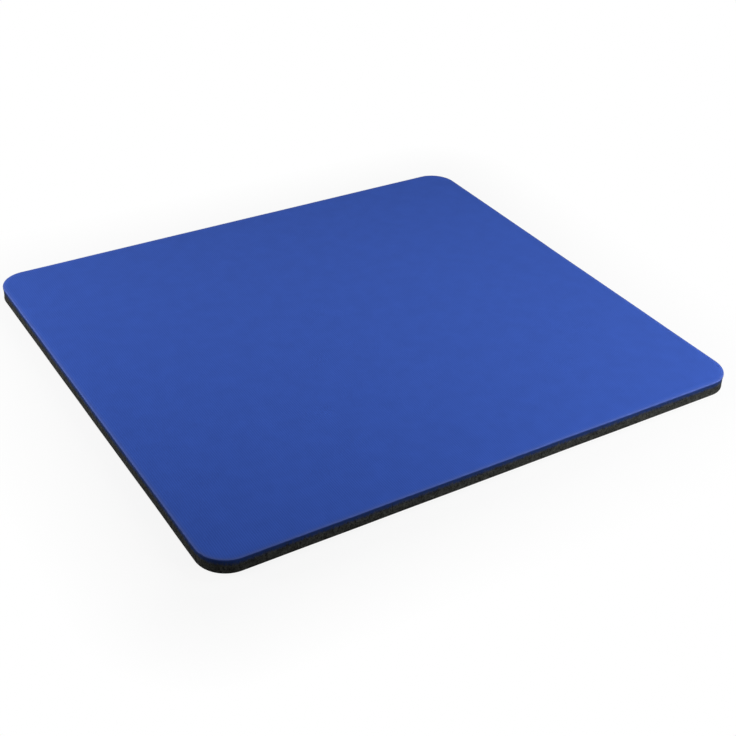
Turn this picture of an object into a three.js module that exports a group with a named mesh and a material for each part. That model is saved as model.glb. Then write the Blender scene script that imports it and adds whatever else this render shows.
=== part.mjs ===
import * as THREE from 'three';

// A rectangular mouse pad lying flat. Knitted cloth is bonded by a thin film to a foam-rubber base,
// and one steel-rule die has cut through all three layers, so they share an outline and an edge.
// Millimetres, +Z up. The origin is the middle of the underside, and X runs along the longer side.

// Outline of the die, seen from above
const padWidth = 220;
const padDepth = 200;
const cornerRadius = 11;

// Layers, from the desk up
const foamThickness = 5.3;
const filmThickness = 0.1;
const clothThickness = 0.6;

// Form of the cut edge
const rimWidth = 2.4; // band along the cut where the blade has drawn the layers down
const rimDrop = 0.3; // how far they are drawn down at the cut itself
const clothShoulder = 0.4; // rounding of the cloth's upper arris
const edgeHollow = 0.12; // depth of the dish where the squeezed foam has sprung back
const footRounding = 0.3; // rounding of the foam's lower arris

// Facets in a quarter turn are twice cornerDivisions, and each curve of an edge has edgeDivisions
const cornerDivisions = 6;
const edgeDivisions = 5;

// Heights of the faces where the layers meet
const filmFoot = foamThickness;
const clothFoot = filmFoot + filmThickness;
const padTop = clothFoot + clothThickness;

// The die's outline moved inwards by the inset, counter-clockwise from above
function dieOutline(inset) {
  const centreX = padWidth / 2 - cornerRadius;
  const centreY = padDepth / 2 - cornerRadius;
  const radius = cornerRadius - inset;
  const quarter = Math.PI / 2;
  const outline = new THREE.Path();
  outline.absarc(centreX, centreY, radius, 0, quarter);
  outline.absarc(-centreX, centreY, radius, quarter, 2 * quarter);
  outline.absarc(-centreX, -centreY, radius, 2 * quarter, 3 * quarter);
  outline.absarc(centreX, -centreY, radius, 3 * quarter, 4 * quarter);
  return outline.getPoints(cornerDivisions);
}

// Profiles run in a plane square to the edge: x is the distance out from the die's outline, so it is
// negative inside the pad, and y is the height. Each starts on a layer's lower face, at the inner side of
// the rim, goes round the cut edge and ends on the upper face above its start.

function startOnFace(height) {
  const profile = new THREE.Path();
  profile.moveTo(-rimWidth, height);
  return profile;
}

// A face between two layers, level inside the rim and drawn down to the cut
function faceOutToCut(profile, height) {
  profile.quadraticCurveTo(-rimWidth / 2, height, 0, height - rimDrop);
}

function faceInFromCut(profile, height) {
  profile.quadraticCurveTo(-rimWidth / 2, height, -rimWidth, height);
}

// Foam rubber: flat underside, rounded foot, dished cut and drawn-down top
function foamProfile() {
  const cutTop = foamThickness - rimDrop;
  const middle = (footRounding + cutTop) / 2;
  const profile = startOnFace(0);
  profile.lineTo(-footRounding, 0);
  profile.quadraticCurveTo(0, 0, 0, footRounding);
  profile.quadraticCurveTo(-2 * edgeHollow, middle, 0, cutTop);
  faceInFromCut(profile, foamThickness);
  return profile;
}

// Bonding film: follows the foam below and the cloth above, and is cut square
function filmProfile() {
  const profile = startOnFace(filmFoot);
  faceOutToCut(profile, filmFoot);
  profile.lineTo(0, clothFoot - rimDrop);
  faceInFromCut(profile, clothFoot);
  return profile;
}

// Cloth: follows the film, is cut square, and turns over a rounded shoulder into the drawn-down top
function clothProfile() {
  const level = 1 - clothShoulder / rimWidth;
  const shoulderTop = padTop - rimDrop * level ** 2;
  const shoulderSlope = (2 * rimDrop * level) / rimWidth;
  const arris = shoulderTop - shoulderSlope * clothShoulder;
  const profile = startOnFace(clothFoot);
  faceOutToCut(profile, clothFoot);
  profile.lineTo(0, arris - clothShoulder);
  profile.quadraticCurveTo(0, arris, -clothShoulder, shoulderTop);
  profile.quadraticCurveTo(-(clothShoulder + rimWidth) / 2, padTop, -rimWidth, padTop);
  return profile;
}

// A closed layer: one ring of the outline for each point of the profile, and flat faces inside the rim
function layerGeometry(profile) {
  const rings = profile.getPoints(edgeDivisions).map((point) => ({
    height: point.y,
    outline: dieOutline(-point.x),
  }));
  const count = rings[0].outline.length;
  const positions = rings.flatMap(({ height, outline }) => outline.flatMap(({ x, y }) => [x, y, height]));
  const triangles = [];
  for (let ring = 0; ring < rings.length - 1; ring += 1) {
    for (let side = 0; side < count; side += 1) {
      const next = (side + 1) % count;
      const below = [ring * count + side, ring * count + next];
      const above = [below[0] + count, below[1] + count];
      triangles.push(below[0], below[1], above[1], below[0], above[1], above[0]);
    }
  }
  const upperRing = (rings.length - 1) * count;
  for (const [a, b, c] of THREE.ShapeUtils.triangulateShape(rings[0].outline, [])) {
    triangles.push(a, c, b);
    triangles.push(upperRing + a, upperRing + b, upperRing + c);
  }
  const geometry = new THREE.BufferGeometry();
  geometry.setAttribute('position', new THREE.Float32BufferAttribute(positions, 3));
  geometry.setIndex(triangles);
  geometry.computeVertexNormals();
  return geometry;
}

function layer(name, profile, finish) {
  const material = new THREE.MeshStandardMaterial({ metalness: 0, ...finish });
  const mesh = new THREE.Mesh(layerGeometry(profile), material);
  mesh.name = name;
  return mesh;
}

const mousePad = new THREE.Group();
mousePad.add(
  layer('foam_base', foamProfile(), { color: 0x232423, roughness: 0.92 }),
  layer('bond_film', filmProfile(), { color: 0x1c2230, roughness: 0.6 }),
  layer('cloth_top', clothProfile(), { color: 0x324ca2, roughness: 0.85 }),
);

export default mousePad;
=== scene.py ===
import math

import bpy
import numpy as np
from mathutils import Matrix, Vector


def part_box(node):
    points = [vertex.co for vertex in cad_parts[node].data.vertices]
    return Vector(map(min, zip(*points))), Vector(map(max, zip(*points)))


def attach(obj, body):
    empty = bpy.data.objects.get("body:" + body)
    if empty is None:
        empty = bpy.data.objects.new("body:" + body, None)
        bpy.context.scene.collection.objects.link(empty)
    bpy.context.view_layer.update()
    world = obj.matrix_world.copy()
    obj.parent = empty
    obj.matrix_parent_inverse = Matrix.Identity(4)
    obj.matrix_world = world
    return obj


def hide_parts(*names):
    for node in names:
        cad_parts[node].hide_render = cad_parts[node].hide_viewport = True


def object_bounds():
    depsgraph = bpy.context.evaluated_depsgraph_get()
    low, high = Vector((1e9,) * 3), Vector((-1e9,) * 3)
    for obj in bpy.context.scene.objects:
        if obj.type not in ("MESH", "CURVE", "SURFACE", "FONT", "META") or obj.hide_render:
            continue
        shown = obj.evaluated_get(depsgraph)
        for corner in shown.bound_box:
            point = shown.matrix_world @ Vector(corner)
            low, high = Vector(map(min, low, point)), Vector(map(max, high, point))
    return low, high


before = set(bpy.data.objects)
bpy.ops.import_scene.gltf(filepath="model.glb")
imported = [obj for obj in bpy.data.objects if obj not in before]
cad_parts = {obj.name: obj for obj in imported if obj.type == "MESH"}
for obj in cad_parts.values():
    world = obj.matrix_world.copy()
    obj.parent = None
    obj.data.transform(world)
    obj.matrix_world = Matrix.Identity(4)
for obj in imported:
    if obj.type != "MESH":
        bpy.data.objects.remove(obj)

# Looks of a cloth-topped mouse pad: knitted cloth, bonding film and foam rubber, cut out by one die.
# Metres, +Z up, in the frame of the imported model: the origin is the middle of the underside.

cad_low, cad_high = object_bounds()

MM = 0.001

# Places that the frame gives
HALF_SIDES = (cad_high.x, cad_high.y)
FOAM_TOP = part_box("foam_base")[1].z
FILM_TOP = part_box("bond_film")[1].z
PAD_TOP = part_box("cloth_top")[1].z

# Form of the cut edge, as in the part's source
CORNER_RADIUS = 11.0 * MM
RIM_WIDTH = 2.4 * MM
RIM_DROP = 0.3 * MM
CLOTH_SHOULDER = 0.4 * MM
EDGE_HOLLOW = 0.12 * MM
FOOT_ROUNDING = 0.3 * MM
CUT_TOP = FOAM_TOP - RIM_DROP

# Fineness of the meshes: columns along the longer and shorter sides, columns for each cell of a face, and
# the room that a face leaves inside the rim for each of those columns
COLUMNS = (432, 392)
ALL_COLUMNS = 2 * sum(COLUMNS)
TOP_RATIO = 4
GRIP_RATIO = 2
HIDDEN_RATIO = 8
FACE_ROOM = 0.5 * MM

# Steps of the profiles: in over a face's rim, then up the cut from the foot to the cloth's own rim
FACE_STEPS = 3
FOOT_STEPS = 4
HOLLOW_STEPS = 14
FILM_STEPS = 2
CLOTH_STEPS = 3
SHOULDER_STEPS = 6
RIM_STEPS = 7

# Angle from which an edge is shaded sharp, and the upward part of a polygon's direction below which it
# belongs to the underside
SHARP_ANGLE = math.radians(50)
UNDERSIDE_FACING = -0.9

# Wander of the cut: how far it strays, and its waves as turns round the pad and phase
CUT_WANDER = 0.07 * MM
WANDER_WAVES = ((5, 0.4), (9, 1.7), (14, 3.1), (23, 5.2))

# Swell of the cloth: its depth, its waves as lengths of a radian in x and y and phase, and the width over
# which it fades out at the rim
CLOTH_SWELL = 0.03 * MM
SWELL_WAVES = ((9.1 * MM, 23 * MM, 0.3), (-31 * MM, 8.3 * MM, 1.1), (13.7 * MM, 13.7 * MM, 2.6))
SWELL_FADE = 8 * MM

# Roughness of the cut: fray of the cloth, and grain and burst cells of the foam, which fade out at the
# cut's foot and top
CLOTH_FRAY = 0.015 * MM
FOAM_ROUGHNESS = 0.03 * MM
ROUGHNESS_FADE = 0.3 * MM
BURST_CELL_DEPTH = 0.12 * MM
BURST_CELL_SHARE = 0.02
FRAY_SEED = 3
ROUGHNESS_SEED = 5
BURST_SEED = 7

# Non-slip waffle of the underside, and the width over which it fades out at the rim
GRIP_PITCH = 4.2 * MM
GRIP_DEPTH = 0.3 * MM
GRIP_MARGIN = 3.0 * MM

# Knit: its gauge, its relief, the zigzag of its courses in radians of their wave, and its drift in
# pitches over a stretch of cloth
WALE_PITCH = 0.80 * MM
COURSE_PITCH = 0.60 * MM
KNIT_RELIEF = 0.12 * MM
KNIT_ZIGZAG = 1.2
KNIT_DRIFT = 0.5
DRIFT_STRETCH = 40 * MM

# Fibres of the yarn and their share in its shade, and patches of uneven dye
FIBRE_SIZE = 0.15 * MM
FIBRE_SHARE = 0.25
DYE_PATCH = 7 * MM
DYE_SPREAD = 0.04

# Painted highlight along the cloth's drawn-down rim, and the cloth's dark cut, partly its own colour and
# partly
# painted shade: the upward part of the surface's direction where each begins and where it is full, and
# the share of the highlight colour there
RIM_HIGHLIGHT_FACING = (0.999, 0.96)
RIM_HIGHLIGHT_SHARE = 0.5
CUT_FACING = (0.50, 0.10)

# Cells of the foam, large and small: their sizes, the shares of them that the blade has opened, the
# softness of that choice, how far out in a cell its pit is full and where it ends, and the push that
# bends the cells out of shape, by its reach and its own size
CELL_SIZES = (0.67 * MM, 0.30 * MM)
OPENED_SHARES = (0.4, 0.5)
OPENED_SOFTNESS = 0.1
PIT_REACH = (0.2, 0.55)
CELL_PUSH = 0.3 * MM
PUSH_SIZE = 0.4 * MM

# Walls of the cells: crumbs and blotches, the values of their even blend that are dark and pale, and the
# relief of the cut
CRUMB_SIZE = 0.67 * MM
BLOTCH_SIZE = 2 * MM
PALE_SPAN = (0.38, 0.62)
CUT_RELIEF = 0.15 * MM

# Blue fibre that the blade has wiped down over the cut foam, together with painted shade under the cloth:
# its reach, the share of it that is solid blue, and its streaks: their width, how far up and down they
# stray as a share of the reach, and the share of the height that their noise sees, which draws them out
# upright
WIPE_AND_SHADE_DEPTH = 1.9 * MM
WIPE_AND_SHADE_SOLID = 0.2
STREAK_WIDTH = 0.45 * MM
STREAK_SHARE = 0.3
STREAK_UPRIGHT = 0.15

# Skin of the underside and squeezed-out film
PEBBLE_SIZE = 0.6 * MM
PEBBLE_RELIEF = 0.08 * MM
SKIN_PATCH = 8 * MM
FILM_BEAD = 1.1 * MM

# Colours, in linear light
WHITE = (1, 1, 1, 1)
# Knit colours of the furrow and the crest: the darker furrow colour is painted shade between the yarns
KNIT_FURROW_SHADE = (0.021, 0.061, 0.31, 1)
KNIT_LIGHT = (0.035, 0.098, 0.48, 1)
# Painted highlight colour for the top of the drawn-down rim
KNIT_RIM_HIGHLIGHT = (0.078, 0.102, 0.235, 1)
# Colour of the cut: partly the cut fibres' own darker colour, partly painted shade on the upright cut
KNIT_CUT_AND_SHADE = (0.008, 0.020, 0.095, 1)
KNIT_SHEEN = (0.75, 0.83, 1.0, 1)
FOAM_DARK = (0.012, 0.0125, 0.0115, 1)
FOAM_LIGHT = (0.036, 0.037, 0.0335, 1)
# Near-black of the opened cells: painted shade in their pits
FOAM_PIT_SHADE = (0.0035, 0.0035, 0.0035, 1)
# Navy below the cloth: partly wiped blue fibre, partly painted shade under the cloth's edge
FOAM_WIPE_AND_SHADE = (0.006, 0.018, 0.078, 1)
SKIN_DARK = (0.012, 0.012, 0.012, 1)
SKIN_LIGHT = (0.026, 0.026, 0.025, 1)
# Navy of the film: partly painted shade in the seam under the cloth
FILM_DARK = (0.006, 0.012, 0.045, 1)
FILM_LIGHT = (0.010, 0.022, 0.085, 1)

# Most values of a noise lie between these
NOISE_SPAN = (0.3, 0.7)

# The surface shader's node, as Blender names it in a new material
SURFACE = "Principled BSDF"

# Map for baking: its name, and its margin as a share of its side
BAKE_MAP = "OFBake"
MAP_MARGIN = 0.004

# Camera, from a fit to the outline in the photograph
SENSOR_WIDTH = 36.0
LENS = 64.28
CAMERA_AZIMUTH = math.radians(-32.935)
CAMERA_ELEVATION = math.radians(33.675)
CAMERA_DISTANCE = 502.79 * MM
CAMERA_TARGET = Vector((-5.72 * MM, -22.19 * MM, 0.0))
CAMERA_ROLL = math.radians(2.491)
CAMERA_CLIP = 10 * MM

# Light: the level of the world, and softboxes by their azimuth in degrees, how far out and how high they
# stand, how tall they are, how far out from the pad's middle they aim, and their power
WORLD_LEVEL = 0.30
SOFTBOX_WIDTH = 0.25
SOFTBOX_SPREAD = math.radians(60)
SOFTBOXES = (
    dict(name="softbox_right", azimuth=0, reach=0.45, height=0.40, tall=0.25, aim=0.10, power=0.23),
    dict(name="softbox_left", azimuth=155, reach=0.45, height=0.40, tall=0.25, aim=0.30, power=0.18),
    dict(name="strip_front", azimuth=-55, reach=0.40, height=0.08, tall=0.12, aim=0.23, power=0.28),
    dict(name="strip_left", azimuth=150, reach=0.45, height=0.08, tall=0.12, aim=0.09, power=0.23),
)

# Floor: its side, its grey, its share of plain white where it is seen close to the pad, and the distances
# from the pad between which it goes over to plain white
FLOOR_SIZE = 12.0
FLOOR_GREY = 0.7
FLOOR_WHITENESS = 0.88
FLOOR_FADE = (8 * MM, 45 * MM)


# Outline and profiles

def side_run(straight, reach, columns):
    """One side of the outline from mid-corner to mid-corner: places along it and out from the pad's
    middle, and the turn of its outward direction."""
    arc = CORNER_RADIUS * math.pi / 4
    walked = np.linspace(0, straight + 2 * arc, columns, endpoint=False)
    turn = (np.maximum(walked - arc - straight, 0) - np.maximum(arc - walked, 0)) / CORNER_RADIUS
    along = np.clip(walked - arc, 0, straight) - straight / 2 + CORNER_RADIUS * np.sin(turn)
    out = reach - CORNER_RADIUS + CORNER_RADIUS * np.cos(turn)
    return along, out, turn


def outline(ratio=1):
    """Points and outward directions round the cut, counter-clockwise from the middle of the front left
    corner."""
    points, directions = [], []
    for side in range(4):
        axis = side % 2
        straight = 2 * (HALF_SIDES[axis] - CORNER_RADIUS)
        along, out, turn = side_run(straight, HALF_SIDES[1 - axis], COLUMNS[axis] // ratio)
        heading = side * math.pi / 2
        forward = np.array((math.cos(heading), math.sin(heading)))
        outward = np.array((math.sin(heading), -math.cos(heading)))
        points.append(np.outer(along, forward) + np.outer(out, outward))
        directions.append(np.outer(np.sin(turn), forward) + np.outer(np.cos(turn), outward))
    return np.concatenate(points), np.concatenate(directions)


def bend(start, control, end, steps):
    """A quadratic curve without its end point, as (out, height) rows."""
    t = np.linspace(0, 1, steps, endpoint=False)[:, None]
    return (1 - t) ** 2 * np.array(start) + 2 * t * (1 - t) * np.array(control) + t ** 2 * np.array(end)


def straight_run(start, end, steps):
    """A straight line without its end point, as (out, height) rows."""
    t = np.linspace(0, 1, steps, endpoint=False)[:, None]
    return (1 - t) * np.array(start) + t * np.array(end)


def face_out(height):
    """The drawn-down rim of a face at that height, outwards to the cut."""
    return bend((-RIM_WIDTH, height), (-RIM_WIDTH / 2, height), (0, height - RIM_DROP), FACE_STEPS)


def face_in(height):
    """The same rim, inwards from the cut."""
    return bend((0, height - RIM_DROP), (-RIM_WIDTH / 2, height), (-RIM_WIDTH, height), FACE_STEPS)


def foam_profile():
    middle = (FOOT_ROUNDING + CUT_TOP) / 2
    return np.concatenate([
        straight_run((-RIM_WIDTH, 0), (-FOOT_ROUNDING, 0), FACE_STEPS),
        bend((-FOOT_ROUNDING, 0), (0, 0), (0, FOOT_ROUNDING), FOOT_STEPS),
        bend((0, FOOT_ROUNDING), (-2 * EDGE_HOLLOW, middle), (0, CUT_TOP), HOLLOW_STEPS),
        face_in(FOAM_TOP),
        [(-RIM_WIDTH, FOAM_TOP)],
    ])


def film_profile():
    return np.concatenate([
        face_out(FOAM_TOP),
        straight_run((0, CUT_TOP), (0, FILM_TOP - RIM_DROP), FILM_STEPS),
        face_in(FILM_TOP),
        [(-RIM_WIDTH, FILM_TOP)],
    ])


def cloth_profile():
    level_share = 1 - CLOTH_SHOULDER / RIM_WIDTH
    shoulder_top = PAD_TOP - RIM_DROP * level_share ** 2
    arris = shoulder_top - 2 * RIM_DROP * level_share * CLOTH_SHOULDER / RIM_WIDTH
    shoulder_foot = arris - CLOTH_SHOULDER
    inner_control = (-(CLOTH_SHOULDER + RIM_WIDTH) / 2, PAD_TOP)
    return np.concatenate([
        face_out(FILM_TOP),
        straight_run((0, FILM_TOP - RIM_DROP), (0, shoulder_foot), CLOTH_STEPS),
        bend((0, shoulder_foot), (0, arris), (-CLOTH_SHOULDER, shoulder_top), SHOULDER_STEPS),
        bend((-CLOTH_SHOULDER, shoulder_top), inner_control, (-RIM_WIDTH, PAD_TOP), RIM_STEPS),
        [(-RIM_WIDTH, PAD_TOP)],
    ])


# Unevenness

def smooth_noise(rows, columns, seed, passes):
    """Noise of unit spread on a grid that closes on itself along its columns."""
    grid = np.random.default_rng(seed).normal(size=(rows, columns))
    for _ in range(passes):
        grid = (grid + np.roll(grid, 1, axis=1) + np.roll(grid, -1, axis=1)) / 3
        grid = (grid + np.roll(grid, 1, axis=0) + np.roll(grid, -1, axis=0)) / 3
    return grid / grid.std()


def cut_wander():
    """How far the cut strays from the die's outline, the same for all three layers."""
    turn = np.linspace(0, 2 * math.pi, ALL_COLUMNS, endpoint=False)
    waves = sum(np.sin(turns * turn + phase) for turns, phase in WANDER_WAVES)
    return CUT_WANDER * waves / len(WANDER_WAVES)


def cloth_unevenness(profile):
    """The shoulder and the cut of the cloth are slightly frayed."""
    near_cut = np.clip(1 + profile[:, 0] / CLOTH_SHOULDER, 0, 1)
    fray = smooth_noise(len(profile), ALL_COLUMNS, FRAY_SEED, passes=0)
    return CLOTH_FRAY * near_cut[:, None] * fray


def foam_unevenness(profile):
    """The cut foam is rough, with a burst cell here and there."""
    height = profile[:, 1]
    on_cut = np.clip(np.minimum(height - FOOT_ROUNDING, CUT_TOP - height) / ROUGHNESS_FADE, 0, 1)
    shape = (len(profile), ALL_COLUMNS)
    rough = FOAM_ROUGHNESS * smooth_noise(*shape, ROUGHNESS_SEED, passes=1)
    burst = np.random.default_rng(BURST_SEED).random(shape) < BURST_CELL_SHARE
    return on_cut[:, None] * (rough - BURST_CELL_DEPTH * burst)


def room_to_edge(places):
    return np.minimum(HALF_SIDES[0] - abs(places[..., 0]), HALF_SIDES[1] - abs(places[..., 1]))


def cloth_swell(places):
    """Very shallow unevenness of the bonded cloth's top, fading out at the rim."""
    x, y = places[..., 0], places[..., 1]
    waves = sum(np.sin(x / length_x + y / length_y + phase) for length_x, length_y, phase in SWELL_WAVES)
    depth = CLOTH_SWELL * (waves / len(SWELL_WAVES) + 1) / 2
    return -depth * np.clip((room_to_edge(places) - RIM_WIDTH) / SWELL_FADE, 0, 1)


def grip_relief(places):
    """Diamond waffle pressed into the underside: the crossing ridges stand on the desk."""
    turn = math.pi / (GRIP_PITCH * math.sqrt(2))
    one_way = np.sin(turn * (places[..., 0] + places[..., 1])) ** 2
    other_way = np.sin(turn * (places[..., 0] - places[..., 1])) ** 2
    inside = np.clip((room_to_edge(places) - RIM_WIDTH) / GRIP_MARGIN, 0, 1)
    return GRIP_DEPTH * np.sqrt(one_way * other_way) * inside


def level(places):
    return np.zeros(places.shape[:-1])


# Meshes

def face_grid(ratio, inset):
    """A grid over the pad's face, its border on the outline moved inwards by the inset."""
    points, directions = outline(ratio)
    border = points - inset * directions
    wide, deep = COLUMNS[0] // ratio, COLUMNS[1] // ratio
    ring = np.concatenate([border, border[:1]])
    front = ring[:wide + 1]
    right = ring[wide:wide + deep + 1]
    back = ring[wide + deep:2 * wide + deep + 1][::-1]
    left = ring[2 * wide + deep:][::-1]
    u = np.linspace(0, 1, wide + 1)[:, None, None]
    v = np.linspace(0, 1, deep + 1)[None, :, None]
    between_sides = (1 - v) * front[:, None] + v * back[:, None] + (1 - u) * left[None] + u * right[None]
    corners = (1 - u) * ((1 - v) * front[0] + v * back[0]) + u * ((1 - v) * front[-1] + v * back[-1])
    return between_sides - corners


def border_of(indices):
    """The border of a grid of vertex indices, counter-clockwise from its first corner."""
    return np.concatenate([indices[:-1, 0], indices[-1, :-1], indices[:0:-1, -1], indices[0, :0:-1]])


def face_polygons(indices, ring, ratio):
    """Quads of a face seen from above, and the fans that join its border to the finer ring round it."""
    quads = np.stack([indices[:-1, :-1], indices[1:, :-1], indices[1:, 1:], indices[:-1, 1:]], axis=-1)
    polygons = quads.reshape(-1, 4).tolist()
    border = border_of(indices).tolist()
    ring = ring.tolist()
    middle = ratio // 2
    for place, corner in enumerate(border):
        following = border[(place + 1) % len(border)]
        fine = [ring[(place * ratio + step) % len(ring)] for step in range(ratio + 1)]
        polygons += [[fine[step], fine[step + 1], corner] for step in range(middle)]
        polygons.append([fine[middle], following, corner])
        polygons += [[fine[step], fine[step + 1], following] for step in range(middle, ratio)]
    return polygons


def add_bake_map(mesh, unrolled, hidden):
    """Lays the shown face and the rim unrolled round it over most of the map, and squashes the hidden
    face, given as a range of polygons, into the strip that is left."""
    half = unrolled.max(axis=0)
    scale = (1 - 2 * MAP_MARGIN) / (2 * half[0])
    shown_height = 2 * half[1] * scale
    strip_height = 1 - 3 * MAP_MARGIN - shown_height
    shown_place = MAP_MARGIN + (unrolled + half) * scale
    hidden_place = shown_place * (1, strip_height / shown_height) + (0, shown_height + 2 * MAP_MARGIN)
    vertices = np.empty(len(mesh.loops), int)
    mesh.loops.foreach_get("vertex_index", vertices)
    sizes = np.empty(len(mesh.polygons), int)
    mesh.polygons.foreach_get("loop_total", sizes)
    numbers = np.repeat(np.arange(len(sizes)), sizes)
    in_hidden = (numbers >= hidden.start) & (numbers < hidden.stop)
    places = np.where(in_hidden[:, None], hidden_place[vertices], shown_place[vertices])
    mesh.uv_layers.new(name=BAKE_MAP).uv.foreach_set("vector", places.astype(np.float32).ravel())


def rim_rings(profile, unevenness):
    """Rings of points round the cut, one for each row of the profile."""
    points, directions = outline()
    near_cut = np.clip(1 + profile[:, 0] / RIM_WIDTH, 0, 1)
    out = profile[:, :1] + unevenness + near_cut[:, None] * cut_wander()
    rim = np.empty((len(profile), len(points), 3))
    rim[..., :2] = points + out[..., None] * directions
    rim[..., 2] = profile[:, 1:]
    return rim


def unrolled_rings(profile, shown):
    """The same rings laid out flat round the shown face, for the bake map."""
    points, directions = outline()
    steps = np.hypot(*np.diff(profile, axis=0).T)
    walked = np.concatenate([[0], np.cumsum(steps)])
    from_shown = walked[-1] - walked if shown else walked
    return points + (from_shown - RIM_WIDTH)[:, None, None] * directions


def ring_polygons(numbers):
    """Quads between the rings, given as rows of vertex numbers."""
    after = np.roll(numbers, -1, axis=1)
    quads = np.stack([numbers[:-1], after[:-1], after[1:], numbers[1:]], axis=-1)
    return quads.reshape(-1, 4).tolist()


def layer_mesh(name, profile, unevenness, lower, upper, shown):
    """A closed layer: rings round the cut, and a lower and an upper face given as (ratio, relief). shown
    says which of the two faces, 0 or 1, has most of the bake map."""
    rim = rim_rings(profile, unevenness)
    vertices, flat = [rim.reshape(-1, 3)], [unrolled_rings(profile, shown).reshape(-1, 2)]
    numbers = np.arange(rim.shape[0] * rim.shape[1]).reshape(rim.shape[:2])
    polygons = ring_polygons(numbers)
    used = numbers.size
    for upwards, (ratio, relief) in enumerate((lower, upper)):
        ring = -1 if upwards else 0
        places = face_grid(ratio, RIM_WIDTH + FACE_ROOM * ratio)
        face = np.concatenate([places, (profile[ring, 1] + relief(places))[..., None]], axis=-1)
        indices = used + np.arange(face.shape[0] * face.shape[1]).reshape(face.shape[:2])
        found = face_polygons(indices, numbers[ring], ratio)
        if upwards != shown:
            hidden = range(len(polygons), len(polygons) + len(found))
        polygons += found if upwards else [polygon[::-1] for polygon in found]
        vertices.append(face.reshape(-1, 3))
        flat.append(places.reshape(-1, 2))
        used += indices.size
    mesh = bpy.data.meshes.new(name)
    mesh.from_pydata(np.concatenate(vertices).tolist(), [], polygons)
    mesh.shade_smooth()
    mesh.set_sharp_from_angle(angle=SHARP_ANGLE)
    add_bake_map(mesh, np.concatenate(flat), hidden)
    return mesh


def new_piece(name, mesh, materials):
    piece = bpy.data.objects.new(name, mesh)
    for material in materials:
        mesh.materials.append(material)
    bpy.context.scene.collection.objects.link(piece)
    return piece


# Materials

class Nodes:
    """Adds nodes to a tree, wiring sockets and setting constants by input name or number."""

    def __init__(self, tree):
        self.tree = tree

    def set(self, node, inputs):
        for key, value in inputs.items():
            if isinstance(value, bpy.types.NodeSocket):
                self.tree.links.new(value, node.inputs[key])
            else:
                node.inputs[key].default_value = value

    def set_named(self, name, inputs):
        self.set(self.tree.nodes[name], inputs)

    def add(self, kind, inputs=None, **options):
        node = self.tree.nodes.new("ShaderNode" + kind)
        for key, value in options.items():
            setattr(node, key, value)
        self.set(node, inputs or {})
        return node

    def math(self, operation, first, second=0.0):
        return self.add("Math", {0: first, 1: second}, operation=operation).outputs[0]

    def vector(self, operation, first, second=(0.0, 0.0, 0.0), third=(0.0, 0.0, 0.0)):
        return self.add("VectorMath", {0: first, 1: second, 2: third}, operation=operation).outputs

    def mix(self, factor, first, second):
        node = self.add("Mix", {0: factor, 6: first, 7: second}, data_type="RGBA")
        return node.outputs[2]

    def blend(self, first, second, share):
        rest = self.math("MULTIPLY", first, 1 - share)
        return self.math("ADD", rest, self.math("MULTIPLY", second, share))

    def noise(self, place, size, detail=2.0):
        return self.add("TexNoise", {"Vector": place, "Scale": 1 / size, "Detail": detail}).outputs["Fac"]

    def noise_colour(self, place, size):
        return self.add("TexNoise", {"Vector": place, "Scale": 1 / size}).outputs["Color"]

    def range(self, value, low, high, new_low, new_high):
        node = self.add("MapRange", {0: value, 1: low, 2: high, 3: new_low, 4: new_high})
        return node.outputs[0]

    def noise_range(self, noise, new_low, new_high):
        return self.range(noise, *NOISE_SPAN, new_low, new_high)

    def place(self):
        return self.add("TexCoord").outputs["Object"]

    def axis(self, vector, number):
        return self.add("SeparateXYZ", {0: vector}).outputs[number]

    def bump(self, height, distance, strength):
        node = self.add("Bump", {"Height": height, "Distance": distance, "Strength": strength})
        return node.outputs["Normal"]


def new_material(name):
    material = bpy.data.materials.new(name)
    material.use_nodes = True
    return material, Nodes(material.node_tree)


def knit_height(nodes, place):
    """Stitches as smooth waves: courses that zigzag across the wales, and a furrow between the wales."""
    drift = nodes.range(nodes.noise(place, DRIFT_STRETCH), 0.0, 1.0, -KNIT_DRIFT, KNIT_DRIFT)
    wale = nodes.math("ADD", nodes.math("DIVIDE", nodes.axis(place, 0), WALE_PITCH), drift)
    course = nodes.math("ADD", nodes.math("DIVIDE", nodes.axis(place, 1), COURSE_PITCH), drift)
    rib = nodes.math("COSINE", nodes.math("MULTIPLY", wale, 2 * math.pi))
    zigzag = nodes.math("MULTIPLY", rib, KNIT_ZIGZAG)
    stitch = nodes.math("SINE", nodes.math("ADD", nodes.math("MULTIPLY", course, 2 * math.pi), zigzag))
    return nodes.range(nodes.math("ADD", rib, stitch), -2.0, 2.0, 0.0, 1.0)


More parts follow.
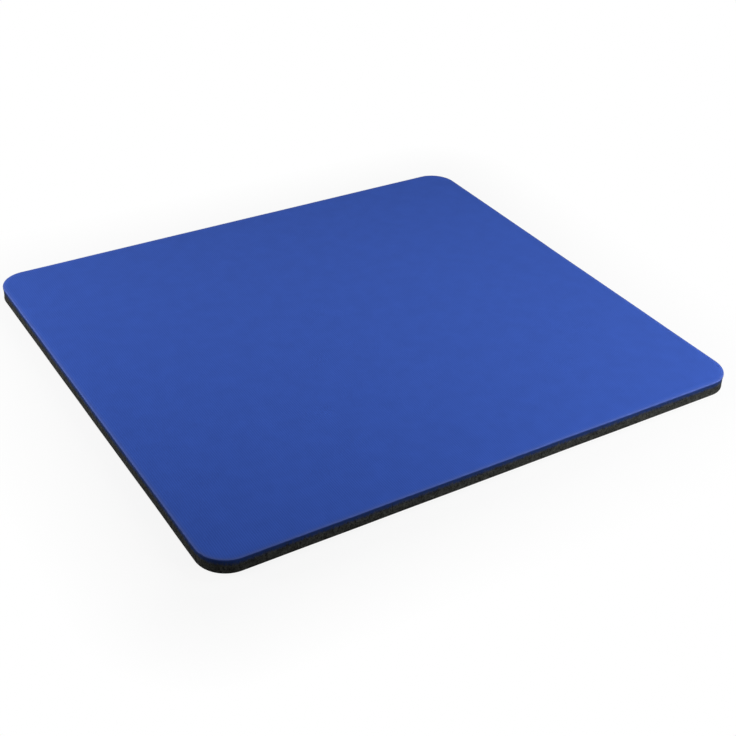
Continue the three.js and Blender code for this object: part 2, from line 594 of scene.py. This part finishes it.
def cloth_material():
    """Royal-blue knit with painted shade in its furrows, a painted highlight along the drawn-down rim,
    and a dark cut that is partly its own colour and partly painted shade.
    """
    material, nodes = new_material("blue_knit")
    place = nodes.place()
    fibres = nodes.noise(place, FIBRE_SIZE)
    yarn = nodes.blend(knit_height(nodes, place), fibres, FIBRE_SHARE)
    # Darker in the knit's furrows: painted shade between the yarns, blended with the fibres' own uneven
    # tone
    knit_with_furrow_shade = nodes.mix(yarn, KNIT_FURROW_SHADE, KNIT_LIGHT)
    patches = nodes.noise(place, DYE_PATCH, detail=4.0)
    shade = nodes.noise_range(patches, 1 - DYE_SPREAD, 1 + DYE_SPREAD)
    dyed = nodes.add("HueSaturation", {"Value": shade, "Color": knit_with_furrow_shade}).outputs[0]
    upward = nodes.axis(nodes.add("TexCoord").outputs["Normal"], 2)
    # Painted highlight on the top of the drawn-down rim, where the surface starts to turn down
    rim_highlighted = nodes.mix(nodes.range(upward, *RIM_HIGHLIGHT_FACING, 0.0, RIM_HIGHLIGHT_SHARE), dyed, KNIT_RIM_HIGHLIGHT)
    nodes.set_named(SURFACE, {
        # The upright cut is dark: partly the cut fibres' own colour, partly painted shade
        "Base Color": nodes.mix(nodes.range(upward, *CUT_FACING, 0.0, 1.0), rim_highlighted, KNIT_CUT_AND_SHADE),
        "Roughness": nodes.noise_range(fibres, 0.78, 0.90),
        "Specular IOR Level": 0.06,
        "Sheen Weight": 0.05,
        "Sheen Roughness": 0.5,
        "Sheen Tint": KNIT_SHEEN,
        "Normal": nodes.bump(yarn, KNIT_RELIEF, strength=0.35),
    })
    return material


def opened_cells(nodes, place, size, share):
    """Pits where the blade has opened cells: 1 in their middle and 0 in the walls, in a share of the
    cells."""
    cells = nodes.add("TexVoronoi", {"Vector": place, "Scale": 1 / size}).outputs
    draw = nodes.add("SeparateColor", {0: cells["Color"]}).outputs[0]
    opened = nodes.range(draw, share + OPENED_SOFTNESS, share - OPENED_SOFTNESS, 0.0, 1.0)
    return nodes.math("MULTIPLY", opened, nodes.range(cells["Distance"], *PIT_REACH, 1.0, 0.0))


def wiped_fibre_and_shade(nodes, place):
    """Where blue fibre and painted shade lie on the cut foam: 1 just under the film, fading out downwards
    in streaks.
    """
    upright = nodes.vector("MULTIPLY", place, (1.0, 1.0, STREAK_UPRIGHT))[0]
    stray = STREAK_SHARE * WIPE_AND_SHADE_DEPTH
    streaks = nodes.noise_range(nodes.noise(upright, STREAK_WIDTH, detail=3.0), -stray, stray)
    height = nodes.math("ADD", nodes.axis(place, 2), streaks)
    return nodes.range(height, CUT_TOP - WIPE_AND_SHADE_DEPTH, CUT_TOP - WIPE_AND_SHADE_SOLID * WIPE_AND_SHADE_DEPTH, 0.0, 1.0)


def foam_cut_material():
    """Die-cut edge: charcoal rubber, opened cells with painted shade in their pits, and below the cloth
    blue fibre wiped over it together with painted shade.
    """
    material, nodes = new_material("foam_cut")
    place = nodes.place()
    push = nodes.noise_colour(place, PUSH_SIZE)
    pushed = nodes.vector("MULTIPLY_ADD", push, (CELL_PUSH,) * 3, place)[0]
    large, small = (opened_cells(nodes, pushed, *cells) for cells in zip(CELL_SIZES, OPENED_SHARES))
    opened = nodes.math("MAXIMUM", large, small)
    crumbs = nodes.noise(place, CRUMB_SIZE, detail=3.0)
    blotches = nodes.noise(place, BLOTCH_SIZE, detail=3.0)
    pale = nodes.range(nodes.blend(crumbs, blotches, share=0.5), *PALE_SPAN, 0.0, 1.0)
    # Opened cells are painted near-black: painted shade in their pits
    rubber = nodes.mix(opened, nodes.mix(pale, FOAM_DARK, FOAM_LIGHT), FOAM_PIT_SHADE)
    nodes.set_named(SURFACE, {
        # Navy just under the cloth: wiped blue fibre together with painted shade, fading downwards
        "Base Color": nodes.mix(wiped_fibre_and_shade(nodes, place), rubber, FOAM_WIPE_AND_SHADE),
        "Roughness": nodes.noise_range(crumbs, 0.82, 0.96),
        "Specular IOR Level": 0.03,
        "Normal": nodes.bump(nodes.math("SUBTRACT", crumbs, opened), CUT_RELIEF, strength=0.7),
    })
    return material


def foam_skin_material():
    """The moulded underside: a closed rubber skin with a fine pebble grain."""
    material, nodes = new_material("foam_skin")
    place = nodes.place()
    pebbles = nodes.add("TexVoronoi", {"Vector": place, "Scale": 1 / PEBBLE_SIZE}, feature="SMOOTH_F1")
    patches = nodes.noise(place, SKIN_PATCH, detail=4.0)
    nodes.set_named(SURFACE, {
        "Base Color": nodes.mix(patches, SKIN_DARK, SKIN_LIGHT),
        "Roughness": nodes.noise_range(patches, 0.62, 0.78),
        "Specular IOR Level": 0.4,
        "Normal": nodes.bump(pebbles.outputs["Distance"], PEBBLE_RELIEF, strength=0.5),
    })
    return material


def film_material():
    """Hot-melt film, squeezed out here and there along the cut; its dark navy is partly painted shade in
    the seam under the cloth.
    """
    material, nodes = new_material("bonding_film")
    beads = nodes.noise(nodes.place(), FILM_BEAD)
    nodes.set_named(SURFACE, {
        "Base Color": nodes.mix(beads, FILM_DARK, FILM_LIGHT),
        "Roughness": nodes.noise_range(beads, 0.60, 0.75),
        "Specular IOR Level": 0.05,
    })
    return material


# The pad's pieces

def make_foam():
    profile = foam_profile()
    mesh = layer_mesh("foam_rubber_base", profile, foam_unevenness(profile),
                      (GRIP_RATIO, grip_relief), (HIDDEN_RATIO, level), shown=0)
    piece = new_piece("foam_rubber_base", mesh, [foam_cut_material(), foam_skin_material()])
    for polygon in mesh.polygons:
        polygon.material_index = int(polygon.normal.z < UNDERSIDE_FACING)
    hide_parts("foam_base")
    return piece


def make_film():
    profile = film_profile()
    mesh = layer_mesh("bonding_film", profile, np.zeros((len(profile), 1)),
                      (HIDDEN_RATIO, level), (HIDDEN_RATIO, level), shown=1)
    piece = new_piece("bonding_film", mesh, [film_material()])
    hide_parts("bond_film")
    return piece


def make_cloth():
    profile = cloth_profile()
    mesh = layer_mesh("knitted_cloth_top", profile, cloth_unevenness(profile),
                      (HIDDEN_RATIO, level), (TOP_RATIO, cloth_swell), shown=1)
    piece = new_piece("knitted_cloth_top", mesh, [cloth_material()])
    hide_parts("cloth_top")
    return piece


# Camera, light and floor

def make_camera():
    data = bpy.data.cameras.new("camera")
    data.sensor_width = SENSOR_WIDTH
    data.lens = LENS
    data.clip_start = CAMERA_CLIP
    camera = bpy.data.objects.new("camera", data)
    level_share = math.cos(CAMERA_ELEVATION)
    back = Vector((
        math.sin(CAMERA_AZIMUTH) * level_share,
        -math.cos(CAMERA_AZIMUTH) * level_share,
        math.sin(CAMERA_ELEVATION),
    ))
    facing = (-back).to_track_quat("-Z", "Y").to_matrix().to_4x4()
    roll = Matrix.Rotation(CAMERA_ROLL, 4, "Z")
    camera.matrix_world = Matrix.Translation(CAMERA_TARGET + CAMERA_DISTANCE * back) @ facing @ roll
    bpy.context.scene.collection.objects.link(camera)
    bpy.context.scene.camera = camera


def seen_directly(nodes):
    """1 for rays that show the background itself: straight from the camera, mirrored or through glass."""
    rays = nodes.add("LightPath").outputs
    mirrored = nodes.math("MAXIMUM", rays["Is Glossy Ray"], rays["Is Transmission Ray"])
    return nodes.math("MAXIMUM", rays["Is Camera Ray"], mirrored)


def make_world():
    world = bpy.data.worlds.new("studio")
    world.use_nodes = True
    nodes = Nodes(world.node_tree)
    strength = nodes.range(seen_directly(nodes), 0.0, 1.0, WORLD_LEVEL, 1.0)
    nodes.set_named("Background", {"Color": WHITE, "Strength": strength})
    bpy.context.scene.world = world


def floor_material():
    """Pale floor that keeps the pad's shadow and goes over to plain white further out."""
    material, nodes = new_material("pale_floor")
    pale = (FLOOR_GREY, FLOOR_GREY, FLOOR_GREY, 1)
    nodes.set_named(SURFACE, {"Base Color": pale, "Roughness": 0.9, "Specular IOR Level": 0.0})
    past = nodes.vector("SUBTRACT", nodes.vector("ABSOLUTE", nodes.place())[0], (*HALF_SIDES, 0.0))[0]
    reach = nodes.vector("LENGTH", nodes.vector("MAXIMUM", past)[0])["Value"]
    whiteness = nodes.range(reach, *FLOOR_FADE, FLOOR_WHITENESS, 1.0)
    white = nodes.add("Emission", {"Color": WHITE, "Strength": 1.0}).outputs[0]
    shaded = nodes.tree.nodes[SURFACE].outputs[0]
    share = nodes.math("MULTIPLY", whiteness, seen_directly(nodes))
    floor = nodes.add("MixShader", {0: share, 1: shaded, 2: white}).outputs[0]
    nodes.set_named("Material Output", {"Surface": floor})
    return material


def make_floor():
    half = FLOOR_SIZE / 2
    mesh = bpy.data.meshes.new("floor")
    corners = [(-half, -half, 0), (half, -half, 0), (half, half, 0), (-half, half, 0)]
    mesh.from_pydata(corners, [], [(0, 1, 2, 3)])
    new_piece("floor", mesh, [floor_material()])


def make_softbox(name, azimuth, reach, height, tall, aim, power):
    """A gridded softbox off to one side, aimed at a place on the floor, out from the pad's middle."""
    data = bpy.data.lights.new(name, "AREA")
    data.shape = "RECTANGLE"
    data.size = SOFTBOX_WIDTH
    data.size_y = tall
    data.spread = SOFTBOX_SPREAD
    data.energy = power
    side = Vector((math.cos(math.radians(azimuth)), math.sin(math.radians(azimuth)), 0.0))
    lamp = bpy.data.objects.new(name, data)
    lamp.location = reach * side + Vector((0.0, 0.0, height))
    lamp.rotation_euler = (aim * side - lamp.location).to_track_quat("-Z", "Y").to_euler()
    lamp.visible_camera = False
    bpy.context.scene.collection.objects.link(lamp)


for make_piece in (make_foam, make_film, make_cloth):
    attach(make_piece(), "root")

make_camera()
make_world()
make_floor()
for softbox in SOFTBOXES:
    make_softbox(**softbox)
bpy.context.scene.view_settings.view_transform = "Standard"
